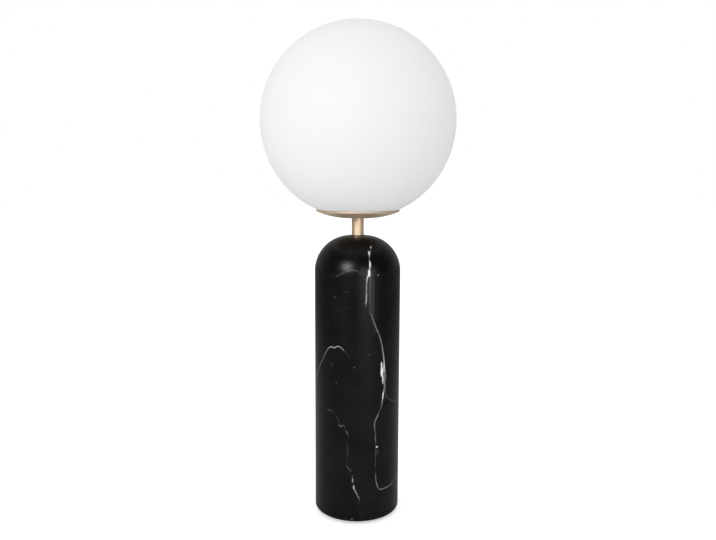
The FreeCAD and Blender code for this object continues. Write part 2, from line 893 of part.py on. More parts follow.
def make_bulb_housing():
    """The collar between cap and diffuser, with a spigot in the cap and a ledge for the board."""
    wall = size("housing_wall")
    foot = size("cap_top")
    rim = size("housing_top")
    spigot = insulator_radius
    spigot_foot = foot - size("housing_spigot")
    return turned("bulb_housing", [
        corner(spigot - wall, spigot_foot),
        corner(spigot, spigot_foot),
        corner(spigot, foot),
        corner(size("housing_foot_radius"), foot),
        bend(size("housing_rim_radius"), rim, size("housing_flare"), RIGHT),
        corner(board_pocket, rim),
        corner(board_pocket, board_bottom),
        corner(board_pocket - size("board_ledge"), board_bottom),
        corner(spigot - wall, foot + size("housing_spigot")),
    ], bulb_tip)


def make_bulb_diffuser():
    wall = size("diffuser_wall")
    outer = size("diffuser_radius")
    top = size("bulb_length") - size("housing_top")
    return turned("bulb_diffuser", [
        bend(diffuser_foot - wall, 0, diffuser_lower_arc, RIGHT),
        corner(diffuser_foot, 0),
        bend(outer, diffuser_drop, diffuser_lower_arc, LEFT),
        bend(0, top, outer, LEFT),
        corner(0, top - wall),
        bend(outer - wall, diffuser_drop, outer - wall, RIGHT),
    ], bulb_tip + size("housing_top"))


def make_bulb_led_board():
    return ring("bulb_led_board", length(0), board_pocket - size("board_gap"),
                size("board_thickness"), bulb_tip + board_bottom)


def make_bulb_led_chips():
    side = size("chip_size")
    chips = []
    for number in range(LED_CHIPS):
        angle = 2 * math.pi * number / LED_CHIPS
        x = size("chip_ring_radius") * math.cos(angle) - side / 2
        y = size("chip_ring_radius") * math.sin(angle) - side / 2
        chips.append(placed_box(f"Chip{number + 1}", side, side, size("chip_height"),
                                x, y, bulb_tip + size("housing_top")))
    return group("bulb_led_chips", chips)


def make_bulb_driver_board():
    """An upright board under the board of chips, with its capacitor lying against it."""
    thick = size("driver_thickness")
    wide = size("driver_width")
    high = size("driver_height")
    foot = bulb_tip + board_bottom - high
    board = placed_box("DriverBoard", wide, thick, high,
                       length(0) - wide / 2, length(0) - thick / 2, foot)
    can = placed_cylinder("DriverCapacitor", size("capacitor_radius"), size("capacitor_height"),
                          length(0), length(0) - size("capacitor_radius"), foot + high / 2)
    driver = document.addObject("Part::Fuse", "bulb_driver_board")
    driver.Base = board
    driver.Tool = can
    return driver


# ---------------------------------------------------------------- build, check and write

pieces = [
    make_foot_pad(),
    make_bottom_cover(),
    make_column(),
    make_cord_bushing(),
    make_clamp_washer(),
    make_lock_washer("lock_washer", lock_washer_z),
    make_hex_nut("bottom_nut", size("nut_height"), bottom_nut_z),
    make_threaded_rod(),
    make_rod_end_bush(),
    make_neck_washer(),
    make_neck_tube(),
    make_globe_dish(),
    make_spring_bracket(),
    make_lock_washer("dish_washer", bracket_top),
    make_hex_nut("dish_nut", size("thin_nut_height"), dish_nut_z),
    make_globe_seat_ring(),
    make_glass_globe(),
    make_lampholder_cap(),
    make_cap_set_screw(),
    make_lampholder_core(),
    make_screw_shell(),
    make_centre_contact(),
    *make_terminals(),
    make_lampholder_skirt(),
    make_bulb_tip_contact(),
    make_bulb_insulator(),
    make_bulb_screw_cap(),
    make_bulb_housing(),
    make_bulb_driver_board(),
    make_bulb_led_board(),
    make_bulb_led_chips(),
    make_bulb_diffuser(),
]
document.recompute()

for item in document.Objects:
    if {"Invalid", "Error"} & set(item.State):
        raise RuntimeError(f"{item.Label} is {item.State}")
for piece in pieces:
    if piece.Shape.isNull() or not piece.Shape.isValid():
        raise RuntimeError(f"{piece.Label} has no valid shape")

os.makedirs("parts", exist_ok=True)
for piece in pieces:
    piece.Shape.exportStep(f"parts/{piece.Label}.step")
    print(f"{piece.Label:20s} {len(piece.Shape.Solids)} solid(s) {piece.Shape.Volume:12.1f} mm3")
print(f"{len(pieces)} nodes")
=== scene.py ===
# %% [markdown]
# A glass globe table lamp. The construction is already fixed: every piece has its place and size
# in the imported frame, and all of them are rigid, so no shape is made anew here. This script gives
# the pieces their finishes and sets up a plain studio with a camera at the photograph's angle.

# %% Load the fixed frame
import json
import math

import bpy
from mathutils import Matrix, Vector


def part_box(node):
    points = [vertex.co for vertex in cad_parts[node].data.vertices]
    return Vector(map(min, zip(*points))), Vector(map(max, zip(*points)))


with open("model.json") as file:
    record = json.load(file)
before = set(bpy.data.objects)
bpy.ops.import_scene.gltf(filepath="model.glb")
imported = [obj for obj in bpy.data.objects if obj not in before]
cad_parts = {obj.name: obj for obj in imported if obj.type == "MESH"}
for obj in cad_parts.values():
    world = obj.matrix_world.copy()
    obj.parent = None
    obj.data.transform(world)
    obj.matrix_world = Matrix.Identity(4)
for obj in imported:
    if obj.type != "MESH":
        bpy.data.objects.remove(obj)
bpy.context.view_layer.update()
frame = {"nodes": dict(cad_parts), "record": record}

nodes = frame["nodes"]
MM = 0.001
print("pieces in the frame:", len(nodes))

# %% [markdown]
# The camera. The photograph was taken from a little above the middle of the lamp, about 80 cm
# away, looking slightly down. The values below were fitted to the lamp's outline, so that the
# render can be laid over the photograph.

# %% Camera
CAMERA_DISTANCE = 801.2 * MM
NEAREST_SEEN = 10 * MM
CAMERA_HEIGHT = 371.8 * MM
CAMERA_PITCH_DOWN = 7.683
CAMERA_ROLL = 0.229
FOCAL_PIXELS = 770.05
FRAME_WIDTH_PIXELS = 716
SENSOR_WIDTH = 36.0
SHIFT_PIXELS = (0.0, -3.1)

scene = bpy.context.scene
camera = bpy.data.objects.new("camera", bpy.data.cameras.new("camera"))
scene.collection.objects.link(camera)
camera.location = (0, -CAMERA_DISTANCE, CAMERA_HEIGHT)
camera.rotation_euler = (math.radians(90 - CAMERA_PITCH_DOWN), -math.radians(CAMERA_ROLL), 0)
camera.data.sensor_width = SENSOR_WIDTH
camera.data.lens = FOCAL_PIXELS / FRAME_WIDTH_PIXELS * SENSOR_WIDTH
camera.data.shift_x = SHIFT_PIXELS[0] / FRAME_WIDTH_PIXELS
camera.data.shift_y = SHIFT_PIXELS[1] / FRAME_WIDTH_PIXELS
camera.data.clip_start = NEAREST_SEEN
scene.camera = camera
scene.view_settings.view_transform = "Standard"
print("lens", round(camera.data.lens, 2), "mm")

# %% [markdown]
# Every finish below is a small tree of shader nodes. These helpers add a node, join two sockets,
# do one step of arithmetic, mix two colours and map a range, so that each material reads as a
# list of what feeds what.


# %% Helpers for shader trees
def add_node(tree, kind, settings=None, **inputs):
    """A node with its properties from settings and its sockets set or linked by name."""
    node = tree.nodes.new(kind)
    for name, value in (settings or {}).items():
        setattr(node, name, value)
    for name, value in inputs.items():
        connect(tree, value, node.inputs[name.replace("_", " ")])
    return node


def connect(tree, value, socket):
    """Link a socket, or set a plain value."""
    if isinstance(value, bpy.types.NodeSocket):
        tree.links.new(value, socket)
    else:
        socket.default_value = value


def calculate(tree, operation, *values):
    """One step of arithmetic. Returns its result."""
    node = tree.nodes.new("ShaderNodeMath")
    node.operation = operation
    for value, socket in zip(values, node.inputs):
        connect(tree, value, socket)
    return node.outputs[0]


def blend_colours(tree, factor, first, second):
    """The first colour where the factor is 0, and the second where it is 1."""
    node = tree.nodes.new("ShaderNodeMix")
    node.data_type = "RGBA"
    connect(tree, factor, node.inputs["Factor"])
    connect(tree, first, node.inputs["A"])
    connect(tree, second, node.inputs["B"])
    return node.outputs["Result"]


def rescale(tree, value, low, high, new_low, new_high, smooth=False):
    """Map a value from one range to another."""
    node = tree.nodes.new("ShaderNodeMapRange")
    node.interpolation_type = "SMOOTHSTEP" if smooth else "LINEAR"
    for socket, number in zip(node.inputs, (value, low, high, new_low, new_high)):
        connect(tree, number, socket)
    return node.outputs[0]

# %% [markdown]
# A texture needs to know where on the lamp it is. Object coordinates ride with the piece when a
# joint moves it, and in millimetres a noise's scale is easy to picture: 0.5 makes lumps of about
# two millimetres.

# %% Helpers for a material and for its place on the lamp
NOISE_LOW, NOISE_HIGH = 0.3, 0.7


def new_material(name):
    """An empty material with a Principled shader. Returns it, its tree and the shader."""
    material = bpy.data.materials.new(name)
    material.use_nodes = True
    tree = material.node_tree
    tree.nodes.clear()
    output = tree.nodes.new("ShaderNodeOutputMaterial")
    shader = tree.nodes.new("ShaderNodeBsdfPrincipled")
    tree.links.new(shader.outputs["BSDF"], output.inputs["Surface"])
    return material, tree, shader


def object_millimetres(tree):
    """The surface point in the lamp's own frame, in millimetres."""
    place = tree.nodes.new("ShaderNodeTexCoord").outputs["Object"]
    scale = add_node(tree, "ShaderNodeVectorMath", {"operation": "SCALE"}, Scale=1 / MM)
    tree.links.new(place, scale.inputs[0])
    return scale.outputs[0]

# %% [markdown]
# Grain. Spun brass, plated steel, moulded plastic and even polished stone all have a fine surface
# that breaks up a reflection. One node group makes it for all of them: noise, stretched as each
# finish needs, that comes out as a roughness and as a height for a Bump node.


# %% Shared group: surface grain
GRAIN_DETAIL = 4.0
GRAIN_ROUGHNESS = 0.6
NOISE_MIDDLE = 0.5
GRAIN_DEPTH = 0.05 * MM


def make_grain_group():
    group = bpy.data.node_groups.new("surface grain", "ShaderNodeTree")
    for name, kind, value in (("Vector", "NodeSocketVector", None),
                              ("Stretch", "NodeSocketVector", (1, 1, 1)),
                              ("Scale", "NodeSocketFloat", 1.0), ("Roughness", "NodeSocketFloat", 0.4),
                              ("Variation", "NodeSocketFloat", 0.05)):
        socket = group.interface.new_socket(name, in_out="INPUT", socket_type=kind)
        if value is not None:
            socket.default_value = value
    for name in ("Roughness", "Height"):
        group.interface.new_socket(name, in_out="OUTPUT", socket_type="NodeSocketFloat")
    given = group.nodes.new("NodeGroupInput").outputs
    stretched = add_node(group, "ShaderNodeVectorMath", {"operation": "MULTIPLY"})
    group.links.new(given["Vector"], stretched.inputs[0])
    group.links.new(given["Stretch"], stretched.inputs[1])
    noise = add_node(group, "ShaderNodeTexNoise", Vector=stretched.outputs[0], Scale=given["Scale"],
                     Detail=GRAIN_DETAIL, Roughness=GRAIN_ROUGHNESS)
    swing = calculate(group, "MULTIPLY", calculate(group, "SUBTRACT", noise.outputs["Fac"], NOISE_MIDDLE),
                      calculate(group, "MULTIPLY", given["Variation"], 2.0))
    result = group.nodes.new("NodeGroupOutput").inputs
    group.links.new(calculate(group, "ADD", given["Roughness"], swing), result["Roughness"])
    group.links.new(noise.outputs["Fac"], result["Height"])
    return group


grain_group = make_grain_group()
print("grain group sockets:", [item.name for item in grain_group.interface.items_tree])


def add_grain(tree, shader, vector, scale, roughness, variation, stretch=(1, 1, 1), bump=0.0):
    """Place the grain group in a material, and let it drive roughness and a fine bump."""
    grain = tree.nodes.new("ShaderNodeGroup")
    grain.node_tree = grain_group
    for name, value in (("Vector", vector), ("Stretch", stretch), ("Scale", scale),
                        ("Roughness", roughness), ("Variation", variation)):
        connect(tree, value, grain.inputs[name])
    tree.links.new(grain.outputs["Roughness"], shader.inputs["Roughness"])
    if bump:
        height = add_node(tree, "ShaderNodeBump", Strength=bump, Distance=GRAIN_DEPTH,
                          Height=grain.outputs["Height"])
        tree.links.new(height.outputs[0], shader.inputs["Normal"])
    return grain

# %% [markdown]
# The marble is a black stone crossed by white calcite veins. No picture is copied: the veins are
# drawn again, after the photograph on the front and freely on the back and the sides, which it
# doesn't show. Each one is a smooth curve over the column's unrolled surface, given by a few
# points in degrees round the column (0 faces the camera) and millimetres up.
# A shader can only ask how far a point lies from a curve, so an upright vein is a Float Curve
# from height to angle, and a lying one a Float Curve from angle to height. Each has a second
# curve for how bright it is along its way.


# %% Shared group: one vein, from the distance to its line
DISPLAY_GAMMA = 2.2
HALO_REACH = 3.0
HALO_STRENGTH = 0.08


def make_vein_group():
    group = bpy.data.node_groups.new("vein line", "ShaderNodeTree")
    for name in ("Distance", "Width", "Strength"):
        group.interface.new_socket(name, in_out="INPUT", socket_type="NodeSocketFloat")
    group.interface.new_socket("Mask", in_out="OUTPUT", socket_type="NodeSocketFloat")
    given = group.nodes.new("NodeGroupInput").outputs
    away = calculate(group, "ABSOLUTE", given["Distance"])
    core = rescale(group, away, 0.0, given["Width"], 1.0, 0.0, smooth=True)
    reach = calculate(group, "MULTIPLY", given["Width"], HALO_REACH)
    halo = rescale(group, away, 0.0, reach, HALO_STRENGTH, 0.0, smooth=True)
    shape = calculate(group, "MAXIMUM", core, halo)
    result = group.nodes.new("NodeGroupOutput").inputs
    light = calculate(group, "POWER", given["Strength"], DISPLAY_GAMMA)
    group.links.new(calculate(group, "MULTIPLY", shape, light), result["Mask"])
    return group


vein_group = make_vein_group()

# %% [markdown]
# The table of veins. Each has its direction, its half width in millimetres and its points. A
# point of an upright vein is a height, an angle and a brightness. A point of a lying vein is an
# angle, a height and a brightness. The brightness is as the eye sees it, from 0 to 1, and the
# group raises it to the display's gamma. The numbers are guides for the eye.

# %% Vein lines
COLUMN_RADIUS_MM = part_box("column")[1].x / MM
UPRIGHT, LYING = "upright", "lying"
VEINS = {
    "main upper": (UPRIGHT, 1.0, [
        (228, 10.8, 0.15), (231, 10.8, 0.35), (237, 11.4, 0.75), (250, 11.6, 0.6),
        (258, 12.6, 0.85), (264, 14.9, 1.0), (268, 16.2, 1.0), (271, 17.0, 0.9), (277, 16.6, 0.45),
        (280, 17.4, 0.7), (283, 19.2, 0.9), (286, 22.0, 0.35), (288, 24.9, 0.6), (290, 27, 0.0)]),
    "main middle": (UPRIGHT, 0.8, [
        (126, 34.4, 0.6), (131, 35.5, 0.75), (136, 36.5, 0.95), (143, 38.4, 0.8), (150, 38.9, 0.7),
        (158, 38.8, 0.75), (165, 38.2, 0.8), (173, 37.4, 0.85), (182, 35.6, 0.75), (194, 32.1, 0.6),
        (206, 25.7, 0.6), (216, 20.6, 0.55), (225, 15.6, 0.25), (229, 12.5, 0.0)]),
    "main lower": (UPRIGHT, 0.75, [
        (35, 33.0, 0.0), (37, 30.0, 0.55), (41, 28.0, 0.6), (47, 26.2, 0.5), (52, 25.6, 0.45),
        (57, 25.3, 0.12), (64, 25.2, 0.3), (70, 25.3, 0.3), (77, 25.8, 0.4), (83, 26.0, 0.25),
        (90, 25.0, 0.5), (99, 24.9, 0.4), (104, 23.6, 0.55), (108, 24.0, 0.6), (114, 27.4, 0.7),
        (118, 29.6, 0.4), (124, 33.6, 0.45), (128, 34.8, 0.6)]),
    "hook": (LYING, 0.7, [
        (29, 37.5, 0.2), (31.5, 35.6, 0.5), (35, 35.0, 0.6), (41, 35.0, 0.65), (50, 35.6, 0.55),
        (58, 37.4, 0.5), (66, 40.0, 0.42), (74, 45, 0.32), (85, 52, 0.3), (104, 61, 0.45),
        (121, 77, 0.5), (134, 84, 0.4), (150, 104, 0.5), (163, 112, 0.0)]),
    "branch": (LYING, 0.55, [
        (40.6, 141, 0.0), (41.2, 137, 0.35), (43.4, 133.4, 0.4), (52, 128.1, 0.4),
        (62, 124.6, 0.35), (74, 122.4, 0.3), (95, 121, 0.3), (112, 126, 0.4), (131, 122, 0.5),
        (148, 131, 0.45), (160, 138, 0.0)]),
    "streak one": (UPRIGHT, 2.2, [
        (218, 17.0, 0.0), (226, 16.8, 0.18), (238, 16.4, 0.28), (250, 16.4, 0.3), (260, 16.8, 0.26),
        (268, 17.5, 0.0)]),
    "streak two": (UPRIGHT, 0.8, [
        (208, 22.5, 0.0), (218, 21.6, 0.2), (230, 21.0, 0.28), (244, 20.6, 0.3), (256, 20.4, 0.28),
        (266, 19.5, 0.0)]),
    "streak three": (UPRIGHT, 1.2, [
        (196, 25.0, 0.0), (206, 22.8, 0.2), (220, 19.5, 0.24), (232, 18.6, 0.2), (240, 18.0, 0.0)]),
    "patch side": (UPRIGHT, 0.6, [
        (128, 40.0, 0.0), (134, 40.6, 0.35), (141, 40.6, 0.4), (150, 40.2, 0.5), (158, 40.8, 0.6),
        (163, 39.8, 0.5), (170, 38.4, 0.3)]),
    "left arch": (LYING, 0.6, [
        (-158, 38, 0.0), (-146, 52, 0.4), (-131, 71, 0.5), (-118, 92, 0.5), (-104, 103, 0.45),
        (-86, 128, 0.4), (-80, 137, 0.6), (-73.6, 146, 0.66), (-62.6, 160.1, 0.68),
        (-51.6, 172.6, 0.72), (-45, 180.5, 0.76), (-40, 185.2, 0.8), (-36, 186.6, 0.9),
        (-30.5, 186.2, 0.9), (-26.6, 188.0, 0.9), (-23.5, 187.5, 0.75), (-19.4, 185.7, 0.85),
        (-17, 184, 0.35), (-13, 180.5, 0.24), (-9, 176, 0.2), (-5.5, 168, 0.1)]),
    "upper arc": (LYING, 0.7, [
        (-29.5, 259.2, 0.3), (-25, 260.6, 0.34), (-16.5, 263.9, 0.34), (-10, 265.8, 0.34),
        (-5, 266.2, 0.42), (-1, 265.6, 0.36), (3, 264.2, 0.2), (6, 263, 0.0)]),
    "short dash": (LYING, 0.6, [
        (-36, 240, 0.0), (-33, 238.8, 0.2), (-30.4, 237.9, 0.4), (-28.5, 237.4, 0.0)]),
    "faint line one": (LYING, 0.6, [
        (-22, 243.6, 0.0), (-20, 243.9, 0.16), (-12, 244.2, 0.2), (-7, 244.4, 0.0)]),
    "faint line two": (LYING, 0.8, [
        (-40, 216, 0.0), (-32, 223, 0.1), (-20.5, 226.9, 0.14), (-8, 229.3, 0.1), (2, 229, 0.0)]),
    "faint line three": (LYING, 0.7, [
        (-36, 120, 0.0), (-30, 141, 0.07), (-20, 152, 0.1), (-10, 157, 0.08), (-4, 158, 0.0)]),
    "faint line four": (LYING, 0.6, [
        (-16, 140, 0.0), (-10, 141.6, 0.12), (2, 142.6, 0.12), (8, 141.5, 0.0)]),
    "short tick": (LYING, 0.7, [
        (-38.5, 170.5, 0.0), (-36.5, 169, 0.3), (-33.5, 166.6, 0.22), (-31.5, 165, 0.0)]),
    "lower chain dash": (LYING, 0.7, [
        (-44, 119.2, 0.0), (-41, 119.4, 0.34), (-36, 119.3, 0.28), (-33, 118.8, 0.2),
        (-30.4, 116, 0.16), (-26, 111.5, 0.4), (-23, 108.4, 0.25), (-21.5, 107.4, 0.0)]),
    "lower chain blot": (LYING, 1.2, [
        (-25.5, 105.2, 0.0), (-24, 105.4, 0.4), (-20.6, 104.6, 0.45), (-18, 106.2, 0.3),
        (-15, 100.5, 0.35), (-12.6, 98.2, 0.55), (-11, 95, 0.0)]),
    "lower chain fall": (UPRIGHT, 0.9, [
        (5, 5.4, 0.1), (10, 5.2, 0.14), (16, 3.0, 0.12), (22, 1.4, 0.16), (26, 3.6, 0.2),
        (29, 2.6, 0.5), (33, 0.2, 0.6), (37, -2.4, 0.7), (40, -3.8, 0.75), (42, -4.4, 0.6),
        (44, -4.8, 0.15), (47, -5.4, 0.5), (51, -5.6, 0.4), (54, -5.8, 0.0)]),
    "lower chain link": (LYING, 0.8, [
        (-14.2, 64.4, 0.0), (-12.8, 62.6, 0.45), (-10.2, 59.4, 0.5), (-8.6, 57.6, 0.35),
        (-6.8, 59.8, 0.3), (-5.6, 61.8, 0.0)]),
    "back main": (UPRIGHT, 0.9, [
        (58, 146, 0.0), (74, 150, 0.45), (96, 151, 0.6), (118, 157, 0.8), (132, 162, 0.9),
        (146, 160, 0.7), (163, 154, 0.5), (184, 149, 0.8), (206, 150, 0.55), (224, 156, 0.75),
        (240, 159, 0.9), (256, 164, 0.6), (274, 166, 0.5), (286, 160, 0.0)]),
    "back fork": (UPRIGHT, 0.6, [
        (150, 158, 0.0), (158, 160, 0.4), (176, 167, 0.5), (197, 170, 0.4), (214, 175, 0.45),
        (226, 176, 0.0)]),
    "back foot": (UPRIGHT, 0.7, [
        (4, -158, 0.3), (19, -154, 0.6), (35, -148, 0.5), (52, -149, 0.7), (70, -156, 0.4),
        (84, -160, 0.0)]),
    "left side": (UPRIGHT, 0.7, [
        (148, -104, 0.0), (161, -109, 0.4), (182, -113, 0.7), (197, -121, 0.8), (221, -127, 0.5),
        (243, -125, 0.6), (262, -118, 0.45), (276, -112, 0.0)]),
    "back arc": (LYING, 0.6, [
        (98, 252, 0.0), (108, 246, 0.4), (122, 239, 0.5), (137, 237, 0.5), (149, 240, 0.3),
        (157, 241, 0.0)]),
    "back low arc": (LYING, 0.6, [
        (-178, 208, 0.0), (-172, 207, 0.3), (-160, 203, 0.4), (-148, 205, 0.3), (-136, 212, 0.0)]),
    "lower ghost": (UPRIGHT, 1.6, [
        (60, -12, 0.0), (70, -12.6, 0.1), (78, -12.4, 0.2), (88, -12.8, 0.1), (95, -13, 0.0)]),
}
print("veins:", len(VEINS))

# %% [markdown]
# Besides the lines, the stone shows small white spots, one wide patch where the main vein opens,
# and soft grey streaks that run beside it. A spot is the distance to one point, with a width and
# a height of its own.

# %% Vein spots: angle, height, half width, half height, brightness
SPOTS = [
    (33.6, 167.5, 1.2, 4.5, 0.95),
    (34.3, 161.0, 1.9, 6.5, 1.0),
    (36.0, 153.0, 1.1, 6.0, 0.95),
    (37.8, 166.5, 1.0, 6.5, 0.9),
    (36.4, 135.5, 0.9, 4.0, 0.9),
    (15.0, 263.0, 1.5, 4.2, 1.0),
    (16.8, 272.0, 1.0, 3.8, 1.0),
    (17.4, 282.5, 0.9, 2.2, 0.95),
    (23.5, 287.5, 1.0, 1.0, 0.8),
    (27.3, 261.0, 0.9, 1.1, 0.45),
    (-34.3, 167.7, 1.0, 0.9, 0.25),
    (-3.5, 167.2, 1.2, 0.9, 0.32),
    (15.0, 180.0, 1.2, 1.0, 0.26),
    (-28.1, 149.5, 0.8, 0.7, 0.35),
    (27.4, 82.0, 1.4, 0.9, 1.0),
    (29.0, 76.0, 0.5, 3.5, 0.3),
    (-6.2, 5.6, 2.2, 0.5, 0.5),
    (-16.0, 5.4, 2.6, 0.35, 0.3),
    (-5.4, 47.8, 0.7, 2.2, 0.7),
    (-3.9, 40.2, 0.8, 2.4, 0.8),
    (-12.4, 83.5, 1.6, 4.0, 0.12),
]
SPOT_CORE, SPOT_EDGE = 0.35, 1.1
print("spots:", len(SPOTS))

# %% [markdown]
# Drawing a line with nodes. The Float Curve works between 0 and 1 on both axes, so the points
# are scaled into that square first and its answer is scaled back. The distance from the line is
# measured across it: in millimetres of height, or as an arc round the column.


# %% Helpers that draw a vein and a spot
def curve_of(tree, value, points, low, high):
    """A Float Curve through points, for a value between low and high. Returns its result."""
    first = points[0][0]
    last = points[-1][0]
    node = tree.nodes.new("ShaderNodeFloatCurve")
    line = node.mapping.curves[0]
    for number, (along, across) in enumerate(points):
        x = (along - first) / (last - first)
        y = (across - low) / (high - low)
        if number == 0:
            line.points[0].location = (x, y)
        elif number == len(points) - 1:
            line.points[-1].location = (x, y)
        else:
            line.points.new(x, y)
    node.mapping.update()
    connect(tree, rescale(tree, value, first, last, 0.0, 1.0), node.inputs["Value"])
    return rescale(tree, node.outputs[0], 0.0, 1.0, low, high)


def add_vein(tree, angle, height, kind, width, points):
    """The mask of one vein over the unrolled column."""
    along, across = (height, angle) if kind == UPRIGHT else (angle, height)
    places = [point[1] for point in points]
    margin = 1
    low = min(places) - margin
    high = max(places) + margin
    line = curve_of(tree, along, [point[:2] for point in points], low, high)
    bright = curve_of(tree, along, [(point[0], point[2]) for point in points], 0.0, 1.0)
    away = calculate(tree, "SUBTRACT", across, line)
    if kind == UPRIGHT:
        away = calculate(tree, "MULTIPLY", away, math.radians(COLUMN_RADIUS_MM))
    inside = calculate(tree, "MULTIPLY", calculate(tree, "GREATER_THAN", along, points[0][0]),
                       calculate(tree, "LESS_THAN", along, points[-1][0]))
    vein = tree.nodes.new("ShaderNodeGroup")
    vein.node_tree = vein_group
    connect(tree, away, vein.inputs["Distance"])
    connect(tree, width, vein.inputs["Width"])
    connect(tree, calculate(tree, "MULTIPLY", bright, inside), vein.inputs["Strength"])
    return vein.outputs["Mask"]


def add_spot(tree, angle, height, spot_angle, spot_height, wide, tall, bright):
    """The mask of one soft-edged spot."""
    across = calculate(tree, "MULTIPLY", calculate(tree, "SUBTRACT", angle, spot_angle),
                       math.radians(COLUMN_RADIUS_MM) / wide)
    up = calculate(tree, "DIVIDE", calculate(tree, "SUBTRACT", height, spot_height), tall)
    away = calculate(tree, "ADD", calculate(tree, "MULTIPLY", across, across),
                     calculate(tree, "MULTIPLY", up, up))
    return rescale(tree, away, SPOT_CORE, SPOT_EDGE, bright ** DISPLAY_GAMMA, 0.0, smooth=True)

# %% [markdown]
# The stone itself. A little noise is added to the place before the veins are looked up, so that
# no line is drawn too smoothly, and another makes each line thinner and wider on its way. The
# black is never one flat tone: slow clouds and fine specks mix two near blacks.

# %% Marble
WOBBLE_MM = 1.1
WOBBLE_SCALE = 0.35
THINNEST, WIDEST = 0.6, 1.2
WIDTH_NOISE_SCALE = 0.5
CLOUD_SCALE, SPECK_SCALE = 0.03, 0.6
DARKEST_STONE = (0.001, 0.001, 0.0011, 1)
PALEST_STONE = (0.008, 0.008, 0.0083, 1)
VEIN_WHITE = (0.86, 0.85, 0.83, 1)
MARBLE_ROUGHNESS = 0.3
MARBLE_SPECULAR = 0.2


def make_marble():
    material, tree, shader = new_material("black marble")
    place = object_millimetres(tree)
    wobble = add_node(tree, "ShaderNodeTexNoise", Vector=place, Scale=WOBBLE_SCALE, Detail=3.0)
    shake = add_node(tree, "ShaderNodeVectorMath", {"operation": "MULTIPLY_ADD"})
    tree.links.new(wobble.outputs["Color"], shake.inputs[0])
    shake.inputs[1].default_value = (WOBBLE_MM,) * 3
    tree.links.new(place, shake.inputs[2])
    parts = add_node(tree, "ShaderNodeSeparateXYZ", Vector=shake.outputs[0])
    x = calculate(tree, "SUBTRACT", parts.outputs["X"], WOBBLE_MM / 2)
    y = calculate(tree, "SUBTRACT", WOBBLE_MM / 2, parts.outputs["Y"])
    height = calculate(tree, "SUBTRACT", parts.outputs["Z"], WOBBLE_MM / 2)
    angle = calculate(tree, "MULTIPLY", calculate(tree, "ARCTAN2", x, y), math.degrees(1))
    uneven = add_node(tree, "ShaderNodeTexNoise", Vector=place, Scale=WIDTH_NOISE_SCALE, Detail=3.0)
    mask = 0.0
    for kind, width, points in VEINS.values():
        changing = rescale(tree, uneven.outputs["Fac"], NOISE_LOW, NOISE_HIGH,
                           width * THINNEST, width * WIDEST)
        mask = calculate(tree, "MAXIMUM", mask, add_vein(tree, angle, height, kind, changing, points))
    for spot in SPOTS:
        mask = calculate(tree, "MAXIMUM", mask, add_spot(tree, angle, height, *spot))
    clouds = add_node(tree, "ShaderNodeTexNoise", Vector=place, Scale=CLOUD_SCALE, Detail=6.0,
                      Roughness=0.6)
    specks = add_node(tree, "ShaderNodeTexNoise", Vector=place, Scale=SPECK_SCALE, Detail=2.0)
    depth = calculate(tree, "MULTIPLY", rescale(tree, clouds.outputs["Fac"], 0.35, 0.75, 0.0, 1.0),
                      rescale(tree, specks.outputs["Fac"], 0.3, 0.8, 0.6, 1.0))
    stone = blend_colours(tree, depth, DARKEST_STONE, PALEST_STONE)
    patchy = rescale(tree, specks.outputs["Fac"], 0.25, 0.6, 0.75, 1.0)
    veined = blend_colours(tree, calculate(tree, "MULTIPLY", mask, patchy), stone, VEIN_WHITE)
    tree.links.new(veined, shader.inputs["Base Color"])
    add_grain(tree, shader, place, scale=0.4, roughness=MARBLE_ROUGHNESS, variation=0.04, bump=0.05)
    shader.inputs["IOR"].default_value = 1.5
    shader.inputs["Specular IOR Level"].default_value = MARBLE_SPECULAR
    return material


marble = make_marble()
print("marble nodes:", len(marble.node_tree.nodes))

# %% [markdown]
# The metals. The brass is satin: spun on the dish, drawn on the neck. A metal's colour sits in its
# reflection, so in a dark room it would look nearly black. Its satin surface also scatters some
# light, which a Metallic a little under 1 stands for. The fine lines of the tool run round the
# axis, which the grain group gives when its noise is squeezed along the height.

# %% Metals
TARNISH_SCALE = 0.08
BRASS_METALLIC = 0.75


def make_metal(name, colour, roughness, scale, stretch, variation, bump, tarnish, metallic=1.0):
    """A metal whose grain follows the tool, a little darker where the noise is low."""
    material, tree, shader = new_material(name)
    place = object_millimetres(tree)
    grain = add_grain(tree, shader, place, scale, roughness, variation, stretch, bump)
    cloud = add_node(tree, "ShaderNodeTexNoise", Vector=place, Scale=TARNISH_SCALE, Detail=3.0)
    worn = rescale(tree, cloud.outputs["Fac"], NOISE_LOW, NOISE_HIGH, 0.0, 1.0)
    darker = tuple(channel * (1 - tarnish) for channel in colour)
    base = blend_colours(tree, worn, (*darker, 1), (*colour, 1))
    fine = rescale(tree, grain.outputs["Height"], NOISE_LOW, NOISE_HIGH, 0.0, tarnish)
    tree.links.new(blend_colours(tree, fine, base, (*darker, 1)), shader.inputs["Base Color"])
    shader.inputs["Metallic"].default_value = metallic
    return material


EVEN, ROUND_THE_AXIS = (1, 1, 1), (1, 1, 12)
brass = make_metal("satin brass", (0.86, 0.68, 0.48), roughness=0.50, scale=0.5, stretch=ROUND_THE_AXIS,
                   variation=0.05, bump=0.08, tarnish=0.08, metallic=BRASS_METALLIC)
contact_brass = make_metal("bright brass", (0.83, 0.62, 0.27), roughness=0.22, scale=0.8, stretch=EVEN,
                           variation=0.06, bump=0.05, tarnish=0.12)
steel = make_metal("zinc plated steel", (0.62, 0.63, 0.64), roughness=0.34, scale=1.2, stretch=EVEN,
                   variation=0.1, bump=0.12, tarnish=0.18)
nickel = make_metal("nickel plate", (0.72, 0.70, 0.66), roughness=0.18, scale=0.9, stretch=EVEN,
                    variation=0.05, bump=0.04, tarnish=0.1)
print("metals:", [metal.name for metal in (brass, contact_brass, steel, nickel)])

